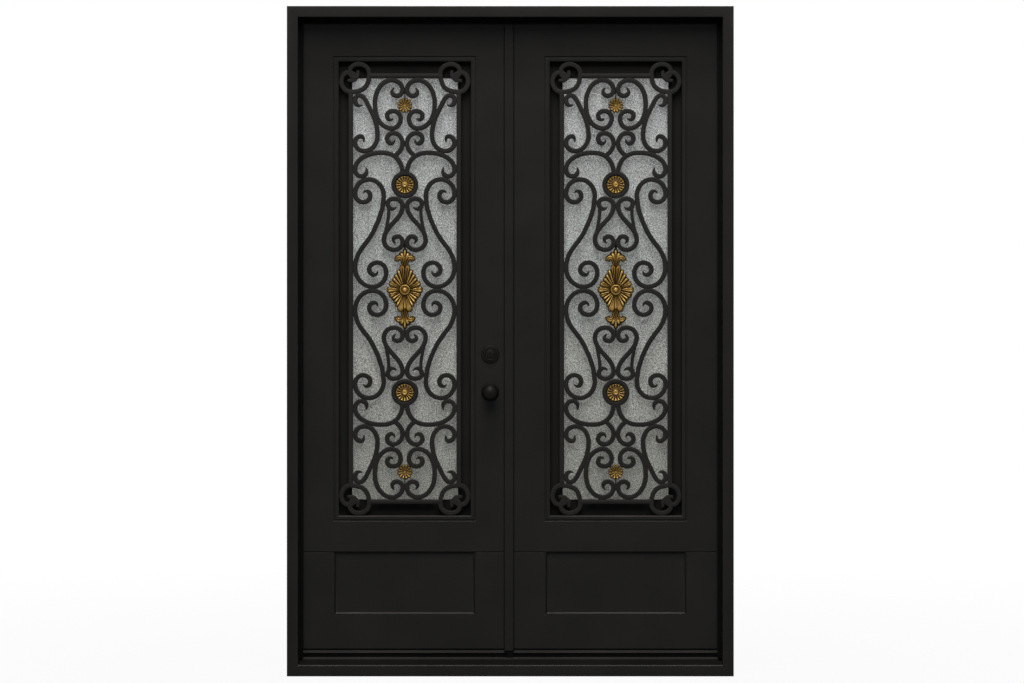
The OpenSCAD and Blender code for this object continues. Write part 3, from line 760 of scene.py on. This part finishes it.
def leaf_blade(line, widths, heights, section):
    """A leaf along a line. Widths and heights are stops of (share of its length, size)."""
    runs = run_lengths(line)
    shares = [run / runs[-1] for run in runs]
    return swept(line, [eased(widths, s) for s in shares], [eased(heights, s) for s in shares],
                 section)


def ray(heading, start, end, count=12):
    return [along(heading) * (start + (end - start) * k / count) for k in range(count + 1)]


def capped(first, loops, last):
    """Joins loops of points into one surface, closed by a point at each end."""
    count = len(loops[0])
    points = [first] + [point for loop in loops for point in loop] + [last]
    faces = [(0, 1 + k, 1 + (k + 1) % count) for k in range(count)]
    for i in range(len(loops) - 1):
        faces += band(1 + i * count, 1 + (i + 1) * count, count)
    end = len(points) - 1
    rim = end - count
    return points, faces + [(end, rim + (k + 1) % count, rim + k) for k in range(count)]


def hub(profile, outline, count=96):
    """A turned hub of (radius, height) on a backing plate with the given outline, all in mm."""
    ways = [360 * k / count for k in range(count)]
    plate_line = [along(way) * outline(way) for way in ways]
    levels = [([along(way) * radius for way in ways], height) for radius, height in profile[1:]]
    levels += [(plate_line, profile[-1][1]), (plate_line, 0)]
    loops = [[(spot.x, -height, spot.y) for spot in line] for line, height in levels]
    return capped((0, -profile[0][1], 0), loops, (0, 0, 0))


ridge = [(-1, 0), (-0.98, 0.42), (-0.8, 0.7), (-0.45, 0.92), (0, 1), (0.45, 0.92), (0.8, 0.7),
         (0.98, 0.42), (1, 0)]
rosette_r, rosette_petals = 33.5, 16
rosette_hub = [(0, 10.5), (2.5, 10.8), (4, 12.4), (6, 13), (8, 12), (9, 9), (9.5, 5), (13, 4),
               (15, 2.5)]
rosette = [hub(rosette_hub, lambda way: rosette_r - 2.5)]
for k in range(rosette_petals):
    rosette.append(leaf_blade(ray(360 * k / rosette_petals, 9, rosette_r - 0.6),
                              [(0, 2.4), (0.45, 4.2), (0.86, 10.4), (1, 7)],
                              [(0, 5), (0.5, 7), (0.86, 12), (1, 7)], ridge))
rim_steps = 8 * rosette_petals
scallops = [along(360 * k / rim_steps) * (rosette_r - 2.8 + 0.8 * math.cos(2 * math.pi * k / 8))
            for k in range(rim_steps)]
rosette.append(swept(scallops, [5] * rim_steps, [8] * rim_steps, ridge, closed=True))
rosette = gather(rosette)
print("Rosette:", len(rosette[1]), "faces")

# %% [markdown]
# ## Star flowers
# The stars have fewer petals, and a dark line runs round each of them. So every petal gets a flat
# brown backing, a little wider than itself. The same sweep makes it, with a square section. The
# backings are kept apart from the petals, because they get a finish of their own.

# %% Stars
flat_back = [(-1, 0), (-1, 1), (1, 1), (1, 0)]
backing_rim, backing_t = 5, 3


def backed(line, widths, heights, section, rim=backing_rim):
    """A leaf, and a flat backing a little wider than the leaf."""
    wider = [(share, width + rim) for share, width in widths]
    longer = line + [line[-1] + (line[-1] - line[-2]).normalized() * rim / 2]
    return (leaf_blade(line, widths, heights, section),
            leaf_blade(longer, wider, [(0, backing_t), (1, backing_t)], flat_back))


star_r, star_petals, star_rim = 28.0, 12, 2.8
star_hub = [(0, 2.4), (2, 2.6), (4, 2.2), (6, 1.6)]
star, star_back = [hub(star_hub, lambda way: star_r * 0.62)], []
for k in range(star_petals):
    petal, back = backed(ray(360 * (k + 0.5) / star_petals, 4, star_r - 1.5),
                         [(0, 2), (0.5, 5), (0.82, 9.2), (1, 4.5)],
                         [(0, 3), (0.5, 6), (0.82, 12), (1, 5)], ridge, star_rim)
    star.append(petal)
    star_back.append(back)
star, star_back = gather(star), gather(star_back)
print("Star:", len(star[1]), "faces")

# %% [markdown]
# ## The sunburst
# The middle casting is a tall sunburst: a dome in a ring, with rays that end on an outline between
# an oval and a diamond. Each ray is listed with its direction, reach and width, for one side of the
# casting, above and below. Leaves stand on its two ends: a pair of volutes that curl outwards, and
# three small lobes over them.

# %% Sunburst
spoon = [(-1, 0), (-0.98, 0.7), (-0.86, 0.95), (-0.62, 1), (-0.35, 0.72), (0, 0.6), (0.35, 0.72),
         (0.62, 1), (0.86, 0.95), (0.98, 0.7), (1, 0)]
upper_rays = [(0, 64, 20), (25, 61, 18), (44, 60, 15), (58, 66, 14), (71, 76, 14), (83, 90, 16)]
lower_rays = [(0, 64, 20), (21, 60, 16.5), (37, 57, 13), (51, 60, 12.5), (64, 68, 13.5),
              (77, 81, 22)]
plate_share, burst_up, crest_rim, broad_ray = 0.9, -4, 8, 15.5


def burst_outline(way):
    rays = upper_rays if along(way).y >= 0 else lower_rays
    up = math.degrees(math.asin(abs(along(way).y)))
    stops = [(ray_way, reach * plate_share) for ray_way, reach, _ in rays]
    return eased(stops, min(up, rays[-1][0]))


def lifted(shape, up):
    return [(x, y, z + up) for x, y, z in shape[0]], shape[1]


burst_hub = [(0, 14), (3.5, 13.7), (6, 12.6), (7.8, 10), (8.4, 6.5), (11, 5.5), (13.6, 6),
             (14.6, 9.5), (16, 11.8), (17.4, 11.6), (18.6, 9), (19.4, 3)]
burst, burst_back = [hub(burst_hub, burst_outline)], []
for rays, end in ((upper_rays, 1), (lower_rays[1:], -1)):
    for way, reach, broad in rays:
        for turn in {way, 180 - way}:
            swell, section = (0.93, spoon) if broad > broad_ray else (0.78, ridge)
            petal, back = backed(
                ray(end * turn, 17, reach),
                [(0, 3.2), (0.5, broad * 0.55), (0.86, broad * swell), (1, broad * 0.5)],
                [(0, 6), (0.5, 8), (0.88, 13), (1, 6)], section)
            burst.append(petal)
            burst_back.append(back)

volute = [(-3, 74, 92), (-5.5, 96, 100), (-12, 111, 135), (-21, 115, 185), (-30, 105, 255)]
crest_leaf = [(-3, 100, 98), (-8, 116, 112), (-13, 131, 118)]
crest_stem = [(0, 84, 90), (0, 112, 90), (0, 142, 90)]
fleuron, fleuron_back = [], []
for row, section, widths, heights, ways in (
        (crest_stem, ridge, [(0, 9), (0.5, 9), (0.8, 10), (1, 6)],
         [(0, 4), (0.5, 5), (0.85, 9), (1, 6)], (1,)),
        (volute, spoon, [(0, 6), (0.4, 9), (0.75, 14), (1, 11)],
         [(0, 7), (0.6, 11), (1, 9)], (1, -1)),
        (crest_leaf, ridge, [(0, 5), (0.7, 13.5), (1, 9)],
         [(0, 5), (0.75, 12), (1, 7)], (1, -1))):
    leaf, back = backed(scroll_line(row), widths, heights, section, crest_rim)
    fleuron += [flipped(leaf, way, 1) for way in ways]
    fleuron_back += [flipped(back, way, 1) for way in ways]
fleuron, burst = gather(fleuron), lifted(gather(burst), burst_up)
burst_back = [lifted(gather(burst_back), burst_up)]
print("Sunburst:", len(burst[1]), "faces, its leaf tips:", len(fleuron[1]), "each")

# %% [markdown]
# ## Setting the castings
# Each leaf carries two rosettes in the rings, two stars and one sunburst. Brown backings show as a
# dark line round them. Flanges and straps behind hold them to the ironwork. Those are painted
# black, as the bars are, so they make a piece of their own.

# %% Castings on the leaves
def disc(radius, thick, count=64):
    line = circle_line((0, 0), radius, count)
    points = [(p.x, y, p.y) for y in (0, thick) for p in line]
    return points, [tuple(range(count)), tuple(range(count, 2 * count))] + band(0, count, count)


star_up, star_weld, burst_from, burst_weld = 674, 732, 80, 168
flange_r, strap_w, strap_t = 42, 8, 3
star_strap = slab(about(0, strap_w / 4), (0, strap_t), (star_up, star_weld))
burst_strap = slab(about(0, strap_w / 2), (0, strap_t), (burst_from, burst_weld))
flowers, tips, holders, backs = [], [burst], [], burst_back
for end in (1, -1):
    flowers += [lifted(rosette, end * ring_up), lifted(star, end * star_up)]
    tips.append(flipped(fleuron, 1, end))
    backs += [lifted(star_back, end * star_up), flipped(gather(fleuron_back), 1, end)]
    holders += [lifted(disc(flange_r, strap_t), end * ring_up), flipped(star_strap, 1, end),
                flipped(burst_strap, 1, end)]
cast_pieces = [("flowers", flowers, antique_gold, "antique_gold", ("rosettes",), 60),
               ("sunburst", tips, antique_gold, "antique_gold", ("cartouche",), 60),
               ("backings", backs, brown_glaze, "antique_gold", (), 35),
               ("straps", holders, iron_paint, "ironwork_paint", (), 35)]
for side, sign in sides.items():
    for name, shapes, finish, slot, nodes, crease in cast_pieces:
        on_leaf(side, name, in_window(gather(shapes), sign, bar_back), finish, slot, nodes,
                crease=crease)
print("Set", len(flowers), "flowers and a sunburst on each leaf")

# %% [markdown]
# ## Knob and deadbolt
# The lock's parts were turned on a lathe, so they are made in the same way: a profile of radius and
# depth is spun round an axis. The knob rides on its own body, because it turns.

# %% Lathe
lock_bronze = black_paint("lock_bronze", (0.0036, 0.0029, 0.0025), 0.44, 300, 0.0002, 0.08)


def turned(profile, at, count=56):
    """Spins (radius, depth) about an axis along Y. The profile starts and ends on the axis."""
    loops = [[(at[0] + spot.x, depth, at[1] + spot.y)
              for spot in circle_line((0, 0), radius, count)] for radius, depth in profile[1:-1]]
    return capped((at[0], profile[0][1], at[1]), loops, (at[0], profile[-1][1], at[1]))


def ball(radius, middle, outward, to_radius, count=14):
    """Profile of a ball from its outer pole to where it meets a neck."""
    stop = math.pi - math.asin(to_radius / radius)
    turns = [stop * k / count for k in range(count + 1)]
    return [(radius * math.sin(t), middle + outward * radius * math.cos(t)) for t in turns]


knob_low, knob_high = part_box("outside_knob")
lock_x = (knob_low.x + knob_high.x) / 2
knob_z = (knob_low.z + knob_high.z) / 2
bolt_low, bolt_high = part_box("deadbolt")
bolt_z = (bolt_low.z + bolt_high.z) / 2
knob_r, neck_r, rose_r, rose_t = knob_high.z - knob_z, 0.011, 0.033, 0.010
spindle_r, clear = 0.005, 0.0005
knob_out, waist_at, waist_share, collar_w, collar_t = 0.048, 0.031, 0.92, 0.002, 0.0015
knob_at, bolt_at = (lock_x, knob_z), (lock_x, bolt_z)
for name, face, outward in (("outside_knob", leaf_front, -1), ("inside_knob", leaf_back, 1)):
    middle = face + outward * knob_out
    root = face + outward * (rose_t + clear)
    profile = ball(knob_r, middle, outward, neck_r)
    profile += [(neck_r * waist_share, middle - outward * waist_at),
                (neck_r, root + outward * 2 * collar_t),
                (neck_r + collar_w, root + outward * collar_t), (neck_r + collar_w, root)]
    if name == "outside_knob":
        profile += [(spindle_r, root), (spindle_r, leaf_back + rose_t)]
    profile.append((0, profile[-1][1]))
    add_piece(f"{name}_ball", turned(profile, knob_at), lock_bronze, "knob", "lock_bronze", [name])
print("Knob:", round(2000 * knob_r), "mm across, at", round(knob_z, 3), "m")

# %% [markdown]
# ## Roses and the bolt's face
# Behind the knob and around the deadbolt lie round roses. The deadbolt's outer rose has rings like
# a target, which show in the photograph as thin arcs of light. On the room side a turn piece
# throws the bolt. The key slot and the bore for the knob's spindle are cut with boolean modifiers.

# %% Roses
rose_steps = [(0, 0), (0.98, 0), (1, 0.12), (1, 0.35), (0.94, 0.62), (0.80, 0.74), (0.74, 0.96),
              (0.66, 1), (0, 1)]
target_steps = [(0, 14), (14, 14), (15.6, 13.4), (16.2, 12), (16.4, 10.6), (17.6, 10.2),
                (19.2, 11.6), (21, 12.2), (23, 11.6), (24.2, 9.6), (24.6, 7.6), (26, 7.2), (28, 8),
                (30, 7.8), (32, 6), (33, 3.5), (33, 0), (0, 0)]


def rose(face, outward, at):
    return turned([(rose_r * r, face + outward * rose_t * h) for r, h in rose_steps], at)


def cut_out(piece, shape):
    """Cuts a shape out of a piece for good."""
    cutter = set_down("cutter", solid_mesh("cutter", shape))
    cut = piece.modifiers.new("cut", "BOOLEAN")
    cut.object = cutter
    cut.solver = "EXACT"
    with bpy.context.temp_override(object=piece, active_object=piece):
        bpy.ops.object.modifier_apply(modifier=cut.name)
    bpy.data.objects.remove(cutter)


roses = gather([rose(leaf_front, -1, knob_at), rose(leaf_back, 1, knob_at)])
rose_pair = add_piece("knob_rose_pair", roses, lock_bronze, "left_leaf", "lock_bronze",
                      ["knob_roses"])
cut_past, key_deep, key_w, key_h = 0.02, 0.008, 0.0025, 0.012
bore_r, bore_from, bore_to = spindle_r + clear, leaf_front - cut_past, leaf_back + cut_past
bore = turned([(0, bore_from), (bore_r, bore_from), (bore_r, bore_to), (0, bore_to)], knob_at)
for piece in (rose_pair, bpy.data.objects["left_leaf_upper"]):
    cut_out(piece, bore)
target = turned([(r / 1000, leaf_front - h / 1000) for r, h in target_steps], bolt_at)
bolt_face = add_piece("deadbolt_face", target, lock_bronze, "left_leaf", "lock_bronze",
                      ["deadbolt"], crease=40)
cut_out(bolt_face, slab(about(lock_x, key_w / 2), (leaf_front - cut_past, leaf_front - key_deep),
                        about(bolt_z, key_h / 2)))
turn_line = [Vector((0, up)) for up in (-20, -16, 0, 16, 20)]
turn_piece = swept(turn_line, [6, 10, 8, 10, 6], [9, 12, 12, 12, 9], flat_arch)
turn_piece = [(lock_x + x / 1000, leaf_back + rose_t - y / 1000, bolt_z + z / 1000)
              for x, y, z in turn_piece[0]], turn_piece[1]
add_piece("deadbolt_turn", gather([rose(leaf_back, 1, bolt_at), turn_piece]), lock_bronze,
          "left_leaf", "lock_bronze")
print("Deadbolt", round((bolt_z - knob_z) * 1000), "mm above the knob")

# %% [markdown]
# ## Rubber seals
# No daylight shows under the leaves or between them, because rubber strips close the gaps: one
# under each leaf, one between the leaves, two along the cover strip with a plug at each end, and
# flat ones on the stops. The two along the cover strip are painted shadow: dark lines where its
# edges throw shade. The strips under the leaves close the gap above the saddle and also lay a dark
# sheet over the sweep's neck and blade, which is painted shade. Only their edges are ever seen, so
# plain slabs are enough. They end about a millimetre short of the part that moves past them.

# %% Seals
# Near-black rubber, for the real seals and also as painted shade on the stops, the cover strip's
# edges and the sweeps.
rubber_and_shade = black_paint("rubber_and_shade", (0.0042, 0.0041, 0.0040), 0.8, gloss=0.02)
seal_low, leaf_gap, seal_edge = saddle_high.z + 0.0012, 0.001, 0.001
for name in ("left_stop", "right_stop", "head_stop"):
    low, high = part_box(name)
    seal = slab((low.x, high.x), (high.y, leaf_front - leaf_gap), (low.z, high.z))
    add_piece(f"{name}_seal", seal, rubber_and_shade, "frame", edge=seal_edge)
# The strips under each leaf: a seal above the saddle, and a dark sheet of painted shade over the
# sweep's neck and blade.
lip_y = (leaf_front + 0.0045, leaf_front + 0.0078)
sweep_strip = (0.016, 0.006)
for side in sides:
    low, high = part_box(f"{side}_sweep")
    strip_z = [high.z - down for down in sweep_strip]
    seal_and_shade_lips = gather([slab((low.x, high.x), lip_y, (seal_low, strip_z[0] - hair)),
                   slab((low.x, high.x), lip_y, (strip_z[1] + hair, high.z - hair))])
    on_leaf(side, "sweep_seal_and_shade", seal_and_shade_lips, rubber_and_shade)
meeting_y = (leaf_back - 0.016, leaf_back - 0.006)
meeting_seal = slab((leaf_high.x + leaf_gap, -leaf_high.x), meeting_y, (seal_low, leaf_high.z))
add_piece("meeting_seal", meeting_seal, rubber_and_shade, "right_leaf", edge=seal_edge)
strip_low, strip_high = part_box("astragal")
# Dark strips along the cover strip's edges: painted shadow lines.
bead_w, bead_set, bead_gap = 0.0028, 0.003, 0.0008
bead_y = (strip_low.y + bead_set, leaf_front - bead_gap)
shadow_beads = gather([slab(xs, bead_y, (strip_low.z, strip_high.z))
                for xs in ((strip_low.x - bead_w, strip_low.x),
                           (strip_high.x, strip_high.x + bead_w))])
add_piece("strip_shadow_beads", shadow_beads, rubber_and_shade, "right_leaf")
plug_left, plug_set, plug_h, plug_gap = -0.013, 0.002, 0.004, 0.0001
plug_x, plug_y = (plug_left, strip_high.x), (strip_low.y + plug_set, leaf_front - bead_gap)
plugs = gather([slab(plug_x, plug_y, zs) for zs in (
    (strip_high.z + plug_gap, strip_high.z + plug_h), (seal_low, strip_low.z - plug_gap))])
add_piece("strip_ends", plugs, rubber_and_shade, "right_leaf")
print("The seal between the leaves is", round((-2 * leaf_high.x - leaf_gap) * 1000, 1), "mm wide")

# %% [markdown]
# ## Finishes for the plain CAD parts
# Some CAD parts already have the right shape: the stops, the saddle, the sweeps, the cover strip
# and the hinges. They stay as they are. A bevel modifier softens their edges without touching
# their meshes. The stops get the rubber's near-black finish, a painted shade for the dark reveal
# beside the leaves, and the sweeps and the saddle are painted lighter, a painted highlight for the
# light from above.

# %% CAD parts
# The saddle and the sweeps are painted lighter: a painted highlight for the light from above.
highlit_paint = black_paint("highlit_paint", shade(paint_tone, 3.0), 0.5, gloss=0)
# The stops get the rubber's finish: painted shade for the dark reveal beside the leaves.
plain_parts = {
    "saddle": (highlit_paint, 0.0025), "left_stop": (rubber_and_shade, 0.001), "right_stop": (rubber_and_shade, 0.001),
    "head_stop": (rubber_and_shade, 0.001), "astragal": (leaf_paint, 0.0015)}
hinge_paint = black_paint("hinge_paint", shade(paint_tone, 1.1), 0.4, gloss=0.2)
for side in sides:
    plain_parts[f"{side}_sweep"] = (highlit_paint, 0.0015)
    plain_parts[f"{side}_frame_hinges"] = (hinge_paint, 0.0006)
    plain_parts[f"{side}_leaf_hinges"] = (hinge_paint, 0.0006)
for name, (finish, edge) in plain_parts.items():
    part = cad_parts[name]
    round_edges(part, edge)
    for holder in part.material_slots:
        holder.material = finish
print("Painted", len(plain_parts), "CAD parts")

# %% [markdown]
# ## White background
# The photograph has a white background. A white lamp strong enough to make one would wash out the
# door. The Light Path node solves this: rays that come straight from the camera, through glass or
# off a shiny face see white, and the rays that light the door see a dimmer grey.

# %% World
def math_node(tree, operation, *values):
    node = tree.nodes.new("ShaderNodeMath")
    node.operation = operation
    for socket, value in zip(node.inputs, values):
        plug(tree, socket, value)
    return node.outputs["Value"]


def seen_directly(tree):
    """1 for rays from the camera, through glass and off shiny faces, and 0 for the rest."""
    rays = add_node(tree, "LightPath")
    seen = rays["Is Camera Ray"]
    for kind in ("Is Transmission Ray", "Is Glossy Ray"):
        seen = math_node(tree, "MAXIMUM", seen, rays[kind])
    return seen


ambient = 0.06
world = bpy.data.worlds.new("studio")
world.use_nodes = True
bpy.context.scene.world = world
sky_tree = world.node_tree
strength = math_node(sky_tree, "MULTIPLY_ADD", seen_directly(sky_tree), 1 - ambient, ambient)
fill(sky_tree, sky_tree.nodes["Background"], Color=(1, 1, 1, 1), Strength=strength)
print("Ambient light:", ambient)

# %% [markdown]
# ## Floor
# The floor is white in the same way, but only in part, so that it keeps the door's shadow. Further
# away it turns fully white, and no horizon shows.

# %% Floor
floor_r, floor_grey, near_white, fade = 40, 0.18, 0.95, (1.0, 5.0)
floor_finish, tree, shader = new_finish("floor")
fill(tree, shader, Base_Color=(floor_grey, floor_grey, floor_grey, 1), Roughness=0.9,
     Specular_IOR_Level=0)
far = tree.nodes.new("ShaderNodeVectorMath")
far.operation = "LENGTH"
plug(tree, far.inputs[0], add_node(tree, "TexCoord")["Object"])
white = range_node(tree, far.outputs["Value"], fade, (near_white, 1))
share = math_node(tree, "MULTIPLY", white, seen_directly(tree))
blend = tree.nodes.new("ShaderNodeMixShader")
glow = add_node(tree, "Emission")["Emission"]
for socket, value in zip(blend.inputs, (share, shader.outputs["BSDF"], glow)):
    plug(tree, socket, value)
fill(tree, tree.nodes["Material Output"], Surface=blend.outputs["Shader"])
floor_mesh = bpy.data.meshes.new("floor")
floor_mesh.from_pydata([(-floor_r, -floor_r, 0), (floor_r, -floor_r, 0), (floor_r, floor_r, 0),
                        (-floor_r, floor_r, 0)], [], [(0, 1, 2, 3)])
floor_mesh.materials.append(floor_finish)
floor = set_down("floor", floor_mesh)
floor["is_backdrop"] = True
print("Floor:", 2 * floor_r, "m square")

# %% [markdown]
# ## Studio light
# In the photograph the light comes from above and in front: the head throws a soft shadow on the
# leaves, and upward edges are bright. A large soft lamp in front does most of it. One nearly
# overhead draws the edges, and a weak one behind keeps the room side readable in other views.

# %% Lamps
def soft_lamp(name, place, target, size, watts):
    lamp_data = bpy.data.lights.new(name, "AREA")
    lamp_data.shape = "RECTANGLE"
    lamp_data.size, lamp_data.size_y = size
    lamp_data.energy = watts
    lamp = set_down(name, lamp_data)
    lamp.location = place
    lamp.rotation_euler = (Vector(target) - Vector(place)).to_track_quat("-Z", "Y").to_euler()


soft_lamp("key", (-0.3, -5.2, 6.3), (0, 0, 1.4), (5.5, 4.2), 520)
soft_lamp("top", (-0.2, -3.6, 10.0), (0, 0, 1.4), (3.2, 1.8), 530)
soft_lamp("back", (0.8, 4.0, 4.6), (0, 0, 1.2), (3.0, 1.6), 160)
bpy.context.scene.view_settings.view_transform = "Standard"

# %% [markdown]
# ## The finished size
# Dressing must not make the door larger. The box of the finished door is printed below.

# %% Finish
low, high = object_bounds()
print("Finished box:", [round(v, 4) for v in low], [round(v, 4) for v in high])
